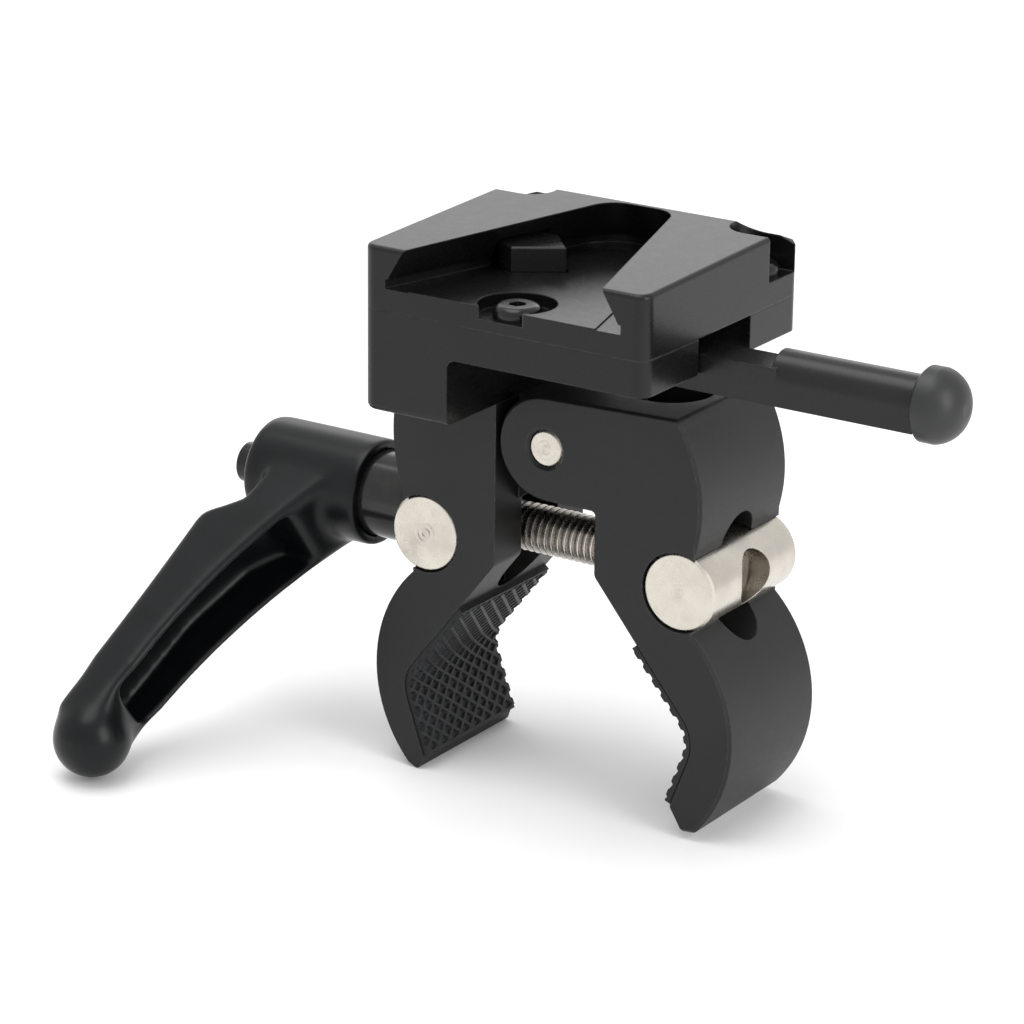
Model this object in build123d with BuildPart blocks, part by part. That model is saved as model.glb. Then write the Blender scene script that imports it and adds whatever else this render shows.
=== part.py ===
"""Crab-type super clamp with a V-lock receiver plate.

Millimetres, +Z up.  The origin is on the floor of the V-lock channel, above the middle of the
jaws: X runs from the handle side to the release lever side, and the channel opens towards -Y.
"""

from build123d import *

import os
from math import cos, radians, sin, tan

# ---------------------------------------------------------------- V-lock receiver plate

PLATE_WIDTH = 51.0
PLATE_FRONT_Y = -26.7
PLATE_REAR_Y = 19.2
PLATE_CORNER_R = 2.3
FLOOR_THICKNESS = 3.8
RAIL_HEIGHT = 6.3
RAIL_RISE = 1.2
RAIL_EDGE_R = 0.7
REAR_SHOULDER_Y = 14.5
REAR_SHOULDER_DROP = 3.0
CHANNEL_FLOOR_HALF = 21.2
CHANNEL_V_ANGLE = 15.5
CHANNEL_DEPTH = 44.3
CHANNEL_CORNER_R = 8.0
RELIEF_HEIGHT = 1.3
RELIEF_STEP = 0.4
OVERHANG_ANGLE = 30.0
GUIDE_WIDTH = 4.4
GUIDE_DEPTH = 0.2
WINDOW_GAP = 0.4

# plate screws, M4 button head
M4_HEAD_R = 3.8
M4_HEAD_HEIGHT = 2.0
M4_SHANK_R = 1.95
M4_TAPPED_R = 2.0
M4_CLEAR_R = 2.2
M4_FRONT_LENGTH = 6.8
M4_REAR_LENGTH = 8.6
FRONT_SCREW = (0, PLATE_FRONT_Y + 4.7)
FRONT_POCKET_R = 6.1
FRONT_POCKET_DEPTH = 2.05
REAR_SCREWS = [(-20.6, 13.6), (20.6, 13.6)]
REAR_SLOT_WIDTH = 8.2
REAR_WALL_R = 6.3
REAR_STEP_Z = 3.4
REAR_SLOPE_X = 17.0
REAR_SLOPE_DROP = 3.2

# ---------------------------------------------------------------- base block

ARM_THICKNESS = 5.7
BOSS_INNER_X = -9.7
BOSS_HEIGHT = 16.35
BLOCK_CORNER_R = 1.6
JAW_SCREWS = [(-19.0, -6.0), (-19.0, 9.4)]
M5_HEAD_R = 4.2
M5_HEAD_HEIGHT = 3.6
M5_SHANK_R = 2.45
M5_HOLE_R = 2.5
M5_SEAT_Z = -16.4
M5_SHANK_LENGTH = 13.0

# ---------------------------------------------------------------- release lever and catch

LEVER_PIVOT = (-17.5, -15.5)
LEVER_PIVOT_R = 2.5
LEVER_EYE_R = 5.2
LEVER_FRONT_Y = -10.7
LEVER_BAR_WIDTH = 7.0
LEVER_ROOT = [(0.0, -3.7), (-12.0, -4.0)]
LEVER_BOTTOM_Z = -12.2
LEVER_TOP_Z = -6.3
LEVER_SWING = 10.0
LEVER_SLOT_FRONT = -11.3
LEVER_SLOT_REAR = 4.2
LEVER_SLOT_BACK = [(-12.0, 0.0), (-6.0, 0.0)]
ROD_START_X = 37.6
ROD_END_X = 61.6
ROD_WIDTH = 8.2
ROD_AXIS_Z = -8.4
CAP_R = 5.8
CAP_SKIRT = 2.6
CAP_LENGTH = 6.8
CAP_FLAT_R = 1.2
CAP_SPIGOT_R = 3.0
CAP_SPIGOT_LENGTH = 4.0
CATCH_TOP_Z = 4.0
CATCH_OUTLINE = [(-14.1, -6.0), (-10.3, -8.2), (-3.3, -3.3), (-8.2, 2.0), (-12.0, 2.0)]
CATCH_SCREWS = [(-11.6, -4.4), (-9.0, -1.4)]
CATCH_SCREW_R = 1.0
CATCH_SCREW_DEPTH = 4.0
CATCH_SCREW_HEAD_R = 1.7
CATCH_SCREW_HEAD_HEIGHT = 1.2
POCKET_FLOOR_Z = -12.7
FOOT_GAP = 0.6
SPRING_RECESS_Z = -16.0
SPRING_RECESS_R = 4.7
SPRING_COIL_R = 3.6
SPRING_WIRE_R = 0.38
SPRING_PITCH = 0.9
SPRING_TURNS = 2.75
LEVER_SCREW_TIP_Z = -18.6
LEVER_SCREW_HEAD_R = 4.0
LEVER_SCREW_HEAD_HEIGHT = 2.0

# ---------------------------------------------------------------- jaws
# points are in the jaw plane, measured from the pivot: x across, y up

PIVOT_X = -0.6
PIVOT_Z = -25.8
JAW_DEPTH = 26.0
EYE_R = 8.2
EAR_R = 8.5
PIVOT_PIN_R = 3.0
PIVOT_PIN_LENGTH = 25.4
RUNNING_GAP = 0.05
TONGUE_WIDTH = 12.4
CLEVIS_WIDTH = 13.0
CLEVIS_END_X = 15.3
CLEVIS_FLOOR = -8.9
LEFT_BARREL = (-22.6, -18.5)
RIGHT_BARREL = (24.6, -18.5)
LEFT_PAD = [(-16.0, -29.9), (-27.1, -44.0), (-22.6, -56.8)]
RIGHT_PAD = [(17.2, -28.8), (28.2, -42.1), (23.9, -53.7)]
LEFT_THROAT = (-9.1, -21.1)
RIGHT_THROAT = (9.2, -19.1)
LEFT_TIP = [(-23.4, -59.3), (-25.5, -58.3)]
LEFT_BACK_LOWER = [(-25.5, -58.3), (-31.8, -42.4), (-24.6, -25.2)]
LEFT_BACK_UPPER = [(-26.2, -13.4), (-28.4, -4.5)]
LEFT_TOP_X = -27.6
TIP_R = 0.7
RIGHT_TIP = [(28.6, -57.6), (26.4, -57.8)]
RIGHT_BACK_LOWER = [(27.1, -24.8), (34.7, -43.0), (29.6, -56.4)]
RIGHT_BACK_UPPER = [(24.9, 7.4), (28.3, -3.0), (27.3, -11.9)]
RIGHT_SHOULDER = (24.0, 9.2)
EAR_CORNER = (9.2, -EAR_R)
TONGUE_ROOT_LOWER = [(-3.0, -7.0), (-12.0, -14.0)]
BARREL_R = 6.35
BARREL_SEAT_R = 6.45
BARREL_LENGTH = 25.4
# recess in the left jaw's outer side, measured from the barrel: the handle tilts into it
TILT_RECESS = [(-14.0, -7.8), (-5.2, -7.8), (-5.0, 2.0), (-1.2, 9.9), (-8.0, 13.4), (-14.0, 13.4)]
TILT_RECESS_WIDTH = 16.6
PAD_STAND = 1.0
PAD_INSET = 2.0
PAD_DEPTH = 25.4
PAD_SEAT_DEPTH = 21.0
PAD_BEND_R = 6.5
LEFT_SLOT = (22.0, 10.6)
RIGHT_SLOT = (20.5, 9.2)
PIN_LEAD_IN = 0.45

# ---------------------------------------------------------------- clamp screw and handle
# distances along the screw are measured from the left barrel's axis, towards the right barrel

SCREW_R = 3.95
SCREW_BORE_R = 4.05
NUT_BORE_R = 4.35
SCREW_RIGHT_END = 50.2
SCREW_LEFT_END = -27.0
RING_X = 1.9
RING_WIDTH = 1.0
RING_INNER_R = 3.2
RING_OUTER_R = 4.8
NECK_R = 3.0
BARREL_FLAT_X = -5.6
WASHER_THICKNESS = 0.9
WASHER_R = 6.0
INSERT_R = 7.2
INSERT_LENGTH = 22.0
INSERT_COLLAR_LENGTH = 2.6
INSERT_COLLAR_R = 6.2
HUB_RIM_X = -17.0
HUB_LENGTH = 30.4
HUB_R = 8.9
HUB_DOME_R = 8.0
HUB_BORE_R = 7.28
WEB_X = -29.2
WEB_THICKNESS = 6.8
CAP_SCREW_R = 1.95
CAP_SCREW_TIP_X = -19.5
CAP_HEAD_X = -42.6
CAP_HEAD_R = 3.4
CAP_HEAD_HEIGHT = 2.0
RECESS_R = 3.8
ARM_SWING = 53.5
ARM_ROOT_WIDTH = 17.0
ARM_TIP_WIDTH = 12.4
ARM_WALL = 1.7
TIP_BALL_R = 6.7
TIP_BALL = (-42.0, 57.0)
# the two sides of the arm in profile: (distance along the screw, distance out from its axis)
ARM_OUTER = [(-42.2, 16.0), (-44.5, 34.0), (-48.2, 56.0)]
ARM_SHOULDER = [(-33.5, 3.0), (-35.5, 11.5)]
ARM_INNER = [(-20.5, 3.0), (-32.6, 28.0), (-38.0, 54.0)]
ARM_EDGE_R = 1.6
HOLLOW_INNER_X = -10.0
HOLLOW_START = 12.0
HOLLOW_END = 50.0
HOLLOW_OUTER = [(-44.4, HOLLOW_END), (-41.8, 30.0), (-37.5, 17.0), (-33.0, HOLLOW_START)]

# ---------------------------------------------------------------- derived places

PLATE_LENGTH = PLATE_REAR_Y - PLATE_FRONT_Y
PLATE_MID_Y = (PLATE_REAR_Y + PLATE_FRONT_Y) / 2
HALF_WIDTH = PLATE_WIDTH / 2
SEAM_Z = -FLOOR_THICKNESS
RAIL_TOP_Z = RAIL_HEIGHT + RAIL_RISE
ARM_BOTTOM_Z = SEAM_Z - ARM_THICKNESS
BOSS_BOTTOM_Z = SEAM_Z - BOSS_HEIGHT
JAW_TOP = BOSS_BOTTOM_Z - PIVOT_Z
JAW_SHOULDER_X = BOSS_INNER_X - PIVOT_X
ROD_AXIS_Y = LEVER_FRONT_Y + ROD_WIDTH / 2
JAW_PLANE = Plane((PIVOT_X, 0, PIVOT_Z), x_dir=(1, 0, 0), z_dir=(0, -1, 0))
LEFT_BARREL_X = PIVOT_X + LEFT_BARREL[0]
LEFT_BARREL_Z = PIVOT_Z + LEFT_BARREL[1]
RIGHT_BARREL_Z = PIVOT_Z + RIGHT_BARREL[1]


def across_screw(distance, z=LEFT_BARREL_Z):
    """Plane across the clamp screw: x is +Y, y is +Z, and its normal points to the right."""
    return Plane((LEFT_BARREL_X + distance, 0, z), x_dir=(0, 1, 0), z_dir=(1, 0, 0))


def along_screw(swing_angle=0):
    """Plane through the screw's axis: x runs along the screw, y outwards at the swing angle."""
    turn = radians(swing_angle)
    outwards = Vector(0, -sin(turn), -cos(turn))
    along = Vector(1, 0, 0)
    return Plane((LEFT_BARREL_X, 0, LEFT_BARREL_Z), x_dir=along, z_dir=along.cross(outwards))


SCREW_AXIS = Axis((LEFT_BARREL_X, 0, LEFT_BARREL_Z), (1, 0, 0))


def swing(x, y, angle):
    """A plan point after the release lever has turned about its pivot."""
    dx, dy = x - LEVER_PIVOT[0], y - LEVER_PIVOT[1]
    turn = radians(angle)
    return (LEVER_PIVOT[0] + dx * cos(turn) - dy * sin(turn),
            LEVER_PIVOT[1] + dx * sin(turn) + dy * cos(turn))


def save(part, name):
    part.label = name
    export_step(part, f"parts/{name}.step")


os.makedirs("parts", exist_ok=True)

# ---------------------------------------------------------------- V-lock receiver plate


def channel_outline(half_width, depth, corner_radius):
    """Plan of the V channel: it narrows towards the rear and ends in rounded corners."""
    slope = tan(radians(CHANNEL_V_ANGLE))
    run_out = 8.0
    front = half_width + run_out * slope
    rear = half_width - depth * slope
    front_y = PLATE_FRONT_Y - run_out
    rear_y = PLATE_FRONT_Y + depth
    with BuildSketch(mode=Mode.PRIVATE) as outline:
        Polygon((-rear, rear_y), (-front, front_y), (front, front_y), (rear, rear_y), align=None)
        fillet(outline.vertices().group_by(Axis.Y)[-1], corner_radius)
    return outline.sketch_local


with BuildPart() as v_lock_plate:
    with BuildSketch(Plane.XY.offset(SEAM_Z)):
        with Locations((0, PLATE_MID_Y)):
            RectangleRounded(PLATE_WIDTH, PLATE_LENGTH, PLATE_CORNER_R)
    extrude(amount=FLOOR_THICKNESS + RAIL_HEIGHT + RAIL_RISE)
    # the top rises towards the rear
    with BuildSketch(Plane.YZ):
        Polygon((PLATE_FRONT_Y - 1, RAIL_HEIGHT), (PLATE_FRONT_Y, RAIL_HEIGHT),
                (PLATE_REAR_Y, RAIL_TOP_Z), (PLATE_REAR_Y + 1, RAIL_TOP_Z + 2),
                (PLATE_FRONT_Y - 1, RAIL_TOP_Z + 2), align=None)
    extrude(amount=PLATE_WIDTH, both=True, mode=Mode.SUBTRACT)
    fillet(v_lock_plate.faces().sort_by(Axis.Z)[-1].edges(), RAIL_EDGE_R)
    # and falls away behind the channel
    with BuildSketch(Plane.YZ):
        Polygon((REAR_SHOULDER_Y, RAIL_TOP_Z - 0.1), (PLATE_REAR_Y, RAIL_TOP_Z - REAR_SHOULDER_DROP),
                (PLATE_REAR_Y + 1, RAIL_TOP_Z - REAR_SHOULDER_DROP), (PLATE_REAR_Y + 1, RAIL_TOP_Z + 1),
                (REAR_SHOULDER_Y, RAIL_TOP_Z + 1), align=None)
    extrude(amount=PLATE_WIDTH, both=True, mode=Mode.SUBTRACT)
    with BuildSketch(Plane.XY):
        add(channel_outline(CHANNEL_FLOOR_HALF, CHANNEL_DEPTH, CHANNEL_CORNER_R))
    extrude(amount=RELIEF_HEIGHT, mode=Mode.SUBTRACT)
    with BuildSketch(Plane.XY.offset(RELIEF_HEIGHT)):
        add(channel_outline(CHANNEL_FLOOR_HALF - RELIEF_STEP, CHANNEL_DEPTH - RELIEF_STEP,
                            CHANNEL_CORNER_R))
    extrude(amount=RAIL_TOP_Z - RELIEF_HEIGHT, taper=OVERHANG_ANGLE, mode=Mode.SUBTRACT)
    # shallow guide tracks beside the rails
    with BuildSketch(Plane.XY.offset(-GUIDE_DEPTH)):
        add(channel_outline(CHANNEL_FLOOR_HALF, CHANNEL_DEPTH, CHANNEL_CORNER_R))
        add(channel_outline(CHANNEL_FLOOR_HALF - GUIDE_WIDTH, CHANNEL_DEPTH - GUIDE_WIDTH,
                            CHANNEL_CORNER_R - GUIDE_WIDTH), mode=Mode.SUBTRACT)
    extrude(amount=GUIDE_DEPTH, mode=Mode.SUBTRACT)
    # pocket of the front screw, open to the front edge
    with BuildSketch(Plane.XY.offset(-FRONT_POCKET_DEPTH)):
        with Locations(FRONT_SCREW):
            Circle(FRONT_POCKET_R)
    extrude(amount=FRONT_POCKET_DEPTH, mode=Mode.SUBTRACT)
    # open slots of the two rear screws, each with a thin round wall behind it
    with BuildSketch(Plane.XY):
        for x, y in REAR_SCREWS:
            with Locations((1.5 * x, y)):
                SlotCenterToCenter(abs(x), REAR_SLOT_WIDTH)
    extrude(amount=RAIL_TOP_Z, mode=Mode.SUBTRACT)
    with BuildSketch(Plane.XY.offset(REAR_STEP_Z)):
        for x, y in REAR_SCREWS:
            with Locations((x, y)):
                Rectangle(20, 20, align=(Align.MAX if x < 0 else Align.MIN, Align.MIN))
        with Locations(*REAR_SCREWS):
            Circle(REAR_WALL_R, mode=Mode.SUBTRACT)
    extrude(amount=RAIL_TOP_Z, mode=Mode.SUBTRACT)
    # the wall behind the screws falls towards the sides
    with BuildSketch(Plane.XZ.offset(-REAR_SCREWS[0][1])):
        for side in (-1, 1):
            Polygon((side * REAR_SLOPE_X, RAIL_TOP_Z), (side * HALF_WIDTH, RAIL_TOP_Z - REAR_SLOPE_DROP),
                    (side * HALF_WIDTH, RAIL_TOP_Z + 1), (side * REAR_SLOPE_X, RAIL_TOP_Z + 1),
                    align=None)
    extrude(amount=-10, mode=Mode.SUBTRACT)
    with BuildSketch(Plane.XY.offset(SEAM_Z)):
        with Locations(FRONT_SCREW, *REAR_SCREWS):
            Circle(M4_CLEAR_R)
    extrude(amount=FLOOR_THICKNESS, mode=Mode.SUBTRACT)
    # window in the floor and under the left rail, in which the catch swings
    with BuildSketch(Plane.XY.offset(SEAM_Z)):
        for angle in (0, LEVER_SWING / 2, LEVER_SWING):
            Polygon(*[swing(x, y, angle) for x, y in CATCH_OUTLINE], align=None)
        make_hull()
        offset(amount=WINDOW_GAP)
    extrude(amount=CATCH_TOP_Z + WINDOW_GAP - SEAM_Z, mode=Mode.SUBTRACT)
save(v_lock_plate.part, "v_lock_plate")

# ---------------------------------------------------------------- plate screws


def button_screw(place, seat_z, shank_length):
    """M4 button-head screw with a hexagon socket."""
    with BuildPart() as screw:
        with BuildSketch(Plane.XY.offset(seat_z)):
            with Locations(place):
                Circle(M4_HEAD_R)
        extrude(amount=M4_HEAD_HEIGHT)
        fillet(screw.edges().group_by(Axis.Z)[-1], 1.2)
        with BuildSketch(Plane.XY.offset(seat_z + M4_HEAD_HEIGHT)):
            with Locations(place):
                RegularPolygon(1.45, 6)
        extrude(amount=-1.3, mode=Mode.SUBTRACT)
        with BuildSketch(Plane.XY.offset(seat_z)):
            with Locations(place):
                Circle(M4_SHANK_R)
        extrude(amount=-shank_length)
        chamfer(screw.edges().group_by(Axis.Z)[0], 0.4)
    return screw.part


plate_screws = Compound([
    button_screw(FRONT_SCREW, -FRONT_POCKET_DEPTH, M4_FRONT_LENGTH),
    *[button_screw(place, 0, M4_REAR_LENGTH) for place in REAR_SCREWS],
])
save(plate_screws, "plate_screws")

# ---------------------------------------------------------------- base block


def lever_foot_sweep():
    """Plan of the room that the lever's inner end sweeps, with a gap all round."""
    with BuildSketch(mode=Mode.PRIVATE) as sweep_plan:
        with Locations(LEVER_PIVOT):
            Circle(LEVER_EYE_R)
        for angle in (0, LEVER_SWING / 2, LEVER_SWING):
            Polygon(*[swing(x, y, angle) for x, y in CATCH_OUTLINE], align=None)
        make_hull()
        offset(amount=FOOT_GAP)
    return sweep_plan.sketch_local


with BuildPart() as base_block:
    with BuildSketch(Plane.XY.offset(ARM_BOTTOM_Z)):
        with Locations((0, PLATE_MID_Y)):
            RectangleRounded(PLATE_WIDTH, PLATE_LENGTH, PLATE_CORNER_R)
    extrude(amount=ARM_THICKNESS)
    with BuildSketch(Plane.XY.offset(BOSS_BOTTOM_Z)):
        with Locations((0, PLATE_MID_Y)):
            RectangleRounded(PLATE_WIDTH, PLATE_LENGTH, PLATE_CORNER_R)
        with Locations((BOSS_INNER_X, PLATE_MID_Y)):
            Rectangle(PLATE_WIDTH, PLATE_LENGTH + 1, align=(Align.MIN, Align.CENTER),
                      mode=Mode.SUBTRACT)
    extrude(amount=BOSS_HEIGHT)
    boss_root = base_block.edges().filter_by(Axis.Y).sort_by_distance(
        (BOSS_INNER_X, PLATE_MID_Y, ARM_BOTTOM_Z))[0]
    fillet(boss_root, BLOCK_CORNER_R)
    boss_foot = base_block.edges().filter_by(Axis.Y).sort_by_distance(
        (-HALF_WIDTH, PLATE_MID_Y, BOSS_BOTTOM_Z))[0]
    fillet(boss_foot, PLATE_CORNER_R / 2)
    # pocket in which the release lever swings: through the arm, blind in the boss
    with BuildSketch(Plane.XY.offset(POCKET_FLOOR_Z)):
        with BuildLine():
            FilletPolyline((HALF_WIDTH + 5, LEVER_SLOT_FRONT), (LEVER_SLOT_BACK[0][0], LEVER_SLOT_FRONT),
                           *LEVER_SLOT_BACK, (HALF_WIDTH - 2.0, LEVER_SLOT_REAR),
                           (HALF_WIDTH + 5, LEVER_SLOT_REAR), radius=1.2, close=True)
        make_face()
        add(lever_foot_sweep())
    extrude(amount=SEAM_Z - POCKET_FLOOR_Z, mode=Mode.SUBTRACT)
    # spring recess and tapped hole of the lever pivot
    with BuildSketch(Plane.XY.offset(SPRING_RECESS_Z)):
        with Locations(LEVER_PIVOT):
            Circle(SPRING_RECESS_R)
    extrude(amount=POCKET_FLOOR_Z - SPRING_RECESS_Z, mode=Mode.SUBTRACT)
    with BuildSketch(Plane.XY.offset(LEVER_SCREW_TIP_Z)):
        with Locations(LEVER_PIVOT):
            Circle(LEVER_PIVOT_R)
    extrude(amount=SPRING_RECESS_Z - LEVER_SCREW_TIP_Z, mode=Mode.SUBTRACT)
    # tapped holes of the plate screws
    with BuildSketch(Plane.XY.offset(ARM_BOTTOM_Z - 0.5)):
        with Locations(FRONT_SCREW, *REAR_SCREWS):
            Circle(M4_TAPPED_R)
    extrude(amount=ARM_THICKNESS + 0.5, mode=Mode.SUBTRACT)
    # counterbored holes of the two screws that hold the block to the left jaw
    with BuildSketch(Plane.XY.offset(BOSS_BOTTOM_Z)):
        with Locations(*JAW_SCREWS):
            Circle(M5_HOLE_R)
    extrude(amount=BOSS_HEIGHT, mode=Mode.SUBTRACT)
    with BuildSketch(Plane.XY.offset(M5_SEAT_Z)):
        with Locations(*JAW_SCREWS):
            Circle(M5_HEAD_R + 0.2)
    extrude(amount=SEAM_Z - M5_SEAT_Z, mode=Mode.SUBTRACT)
save(base_block.part, "base_block")

with BuildPart() as block_screws:
    with BuildSketch(Plane.XY.offset(M5_SEAT_Z)):
        with Locations(*JAW_SCREWS):
            Circle(M5_HEAD_R)
    extrude(amount=M5_HEAD_HEIGHT)
    with BuildSketch(Plane.XY.offset(M5_SEAT_Z)):
        with Locations(*JAW_SCREWS):
            Circle(M5_SHANK_R)
    extrude(amount=-M5_SHANK_LENGTH)
    with BuildSketch(Plane.XY.offset(M5_SEAT_Z + M5_HEAD_HEIGHT)):
        with Locations(*JAW_SCREWS):
            RegularPolygon(2.3, 6)
    extrude(amount=-2.2, mode=Mode.SUBTRACT)
save(block_screws.part, "block_screws")

# ---------------------------------------------------------------- catch

with BuildPart() as catch:
    with BuildSketch(Plane.XY.offset(LEVER_TOP_Z)):
        Polygon(*CATCH_OUTLINE, align=None)
    extrude(amount=CATCH_TOP_Z - LEVER_TOP_Z)
    chamfer(catch.edges().group_by(Axis.Z)[-1], 0.25)
    with BuildSketch(Plane.XY.offset(LEVER_TOP_Z)):
        with Locations(*CATCH_SCREWS):
            Circle(CATCH_SCREW_R)
    extrude(amount=CATCH_SCREW_DEPTH, mode=Mode.SUBTRACT)
save(catch.part, "catch")

CATCH_SCREW_SEAT_Z = LEVER_BOTTOM_Z + 0.3 + CATCH_SCREW_HEAD_HEIGHT
with BuildPart() as catch_screws:
    with BuildSketch(Plane.XY.offset(CATCH_SCREW_SEAT_Z)):
        with Locations(*CATCH_SCREWS):
            Circle(CATCH_SCREW_R)
    extrude(amount=LEVER_TOP_Z + CATCH_SCREW_DEPTH - CATCH_SCREW_SEAT_Z)
    with BuildSketch(Plane.XY.offset(CATCH_SCREW_SEAT_Z)):
        with Locations(*CATCH_SCREWS):
            Circle(CATCH_SCREW_HEAD_R)
    extrude(amount=-CATCH_SCREW_HEAD_HEIGHT)
    with BuildSketch(Plane.XY.offset(CATCH_SCREW_SEAT_Z - CATCH_SCREW_HEAD_HEIGHT)):
        with Locations(*CATCH_SCREWS):
            RegularPolygon(0.8, 6)
    extrude(amount=0.7, mode=Mode.SUBTRACT)
save(catch_screws.part, "catch_screws")

# ---------------------------------------------------------------- release lever

ROD_PLANE = Plane((ROD_START_X, ROD_AXIS_Y, ROD_AXIS_Z), x_dir=(0, 1, 0), z_dir=(1, 0, 0))

with BuildPart() as release_lever:
    with BuildSketch(Plane.XY.offset(LEVER_BOTTOM_Z)):
        with Locations(LEVER_PIVOT):
            Circle(LEVER_EYE_R)
        Polygon(*CATCH_OUTLINE, align=None)
        make_hull()
        Polygon((LEVER_ROOT[1][0], LEVER_FRONT_Y), (ROD_START_X + 1, LEVER_FRONT_Y),
                (ROD_START_X + 1, LEVER_FRONT_Y + LEVER_BAR_WIDTH), *LEVER_ROOT, align=None)
        with Locations(LEVER_PIVOT):
            Circle(LEVER_PIVOT_R + RUNNING_GAP, mode=Mode.SUBTRACT)
        with Locations(*CATCH_SCREWS):
            Circle(CATCH_SCREW_R + 0.1, mode=Mode.SUBTRACT)
    extrude(amount=LEVER_TOP_Z - LEVER_BOTTOM_Z)
    with BuildSketch(Plane.XY.offset(LEVER_BOTTOM_Z)):
        with Locations(*CATCH_SCREWS):
            Circle(CATCH_SCREW_HEAD_R + 0.15)
    extrude(amount=CATCH_SCREW_SEAT_Z - LEVER_BOTTOM_Z, mode=Mode.SUBTRACT)
    # rod with a flat front and underside and a round top
    with BuildSketch(ROD_PLANE):
        Circle(ROD_WIDTH / 2)
        with Locations((-ROD_WIDTH / 2, 0)):
            Rectangle(ROD_WIDTH, ROD_AXIS_Z - LEVER_BOTTOM_Z, align=(Align.MIN, Align.MAX))
    extrude(amount=ROD_END_X - ROD_START_X)
    with BuildSketch(ROD_PLANE.offset(ROD_END_X - ROD_START_X)):
        Circle(CAP_SPIGOT_R)
    extrude(amount=CAP_SPIGOT_LENGTH)
save(release_lever.part, "release_lever")

CAP_PLANE = Plane((ROD_END_X, ROD_AXIS_Y, ROD_AXIS_Z), x_dir=(1, 0, 0), z_dir=(0, -1, 0))
with BuildPart() as lever_cap:
    with BuildSketch(CAP_PLANE):
        with BuildLine():
            Polyline((0, CAP_SPIGOT_R), (0, CAP_R - 0.5), (0.5, CAP_R), (CAP_SKIRT, CAP_R))
            ThreePointArc((CAP_SKIRT, CAP_R), (CAP_LENGTH - 1.15, 0.68 * CAP_R),
                          (CAP_LENGTH, CAP_FLAT_R))
            Polyline((CAP_LENGTH, CAP_FLAT_R), (CAP_LENGTH, 0), (CAP_SPIGOT_LENGTH, 0),
                     (CAP_SPIGOT_LENGTH, CAP_SPIGOT_R), (0, CAP_SPIGOT_R))
        make_face()
    revolve(axis=Axis((ROD_END_X, ROD_AXIS_Y, ROD_AXIS_Z), (1, 0, 0)))
save(lever_cap.part, "lever_cap")

LEVER_HEAD_Z = LEVER_TOP_Z + 0.15
with BuildPart() as lever_pivot_screw:
    with BuildSketch(Plane.XY.offset(LEVER_SCREW_TIP_Z)):
        with Locations(LEVER_PIVOT):
            Circle(LEVER_PIVOT_R)
    extrude(amount=LEVER_HEAD_Z - LEVER_SCREW_TIP_Z)
    with BuildSketch(Plane.XY.offset(LEVER_HEAD_Z)):
        with Locations(LEVER_PIVOT):
            Circle(LEVER_SCREW_HEAD_R)
    extrude(amount=LEVER_SCREW_HEAD_HEIGHT)
    with BuildSketch(Plane.XY.offset(LEVER_HEAD_Z + LEVER_SCREW_HEAD_HEIGHT)):
        with Locations(LEVER_PIVOT):
            RegularPolygon(1.75, 6)
    extrude(amount=-1.4, mode=Mode.SUBTRACT)
save(lever_pivot_screw.part, "lever_pivot_screw")

SPRING_BOTTOM_Z = SPRING_RECESS_Z + SPRING_WIRE_R + 0.1
with BuildPart() as lever_spring:
    with BuildLine(Plane((*LEVER_PIVOT, SPRING_BOTTOM_Z))) as coil:
        Helix(pitch=SPRING_PITCH, height=SPRING_PITCH * SPRING_TURNS, radius=SPRING_COIL_R)
    with BuildSketch(Plane(coil.line @ 0, z_dir=coil.line % 0)):
        Circle(SPRING_WIRE_R)
    sweep(path=coil.line, is_frenet=True)
save(lever_spring.part, "lever_spring")

# ---------------------------------------------------------------- pads


def pad_layer(face_points, thickness, side):
    """Outline, in the jaw plane, of an even layer on one side of a V-shaped gripping face."""
    with BuildSketch(mode=Mode.PRIVATE) as outline:
        with BuildLine():
            FilletPolyline(*face_points, radius=PAD_BEND_R)
            offset(amount=thickness, side=side)
        make_face()
    return outline.sketch_local


# each pad is a layer over the whole face with a narrower block behind it, let into the jaw
with BuildPart() as left_pad:
    with BuildSketch(JAW_PLANE):
        add(pad_layer(LEFT_PAD, PAD_STAND, Side.LEFT))
    extrude(amount=PAD_DEPTH / 2, both=True)
    with BuildSketch(JAW_PLANE):
        add(pad_layer(LEFT_PAD, PAD_INSET, Side.RIGHT))
    extrude(amount=PAD_SEAT_DEPTH / 2, both=True)
save(left_pad.part, "left_pad")

with BuildPart() as right_pad:
    with BuildSketch(JAW_PLANE):
        add(pad_layer(RIGHT_PAD, PAD_STAND, Side.RIGHT))
    extrude(amount=PAD_DEPTH / 2, both=True)
    with BuildSketch(JAW_PLANE):
        add(pad_layer(RIGHT_PAD, PAD_INSET, Side.LEFT))
    extrude(amount=PAD_SEAT_DEPTH / 2, both=True)
save(right_pad.part, "right_pad")

# ---------------------------------------------------------------- left jaw, fixed


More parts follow.
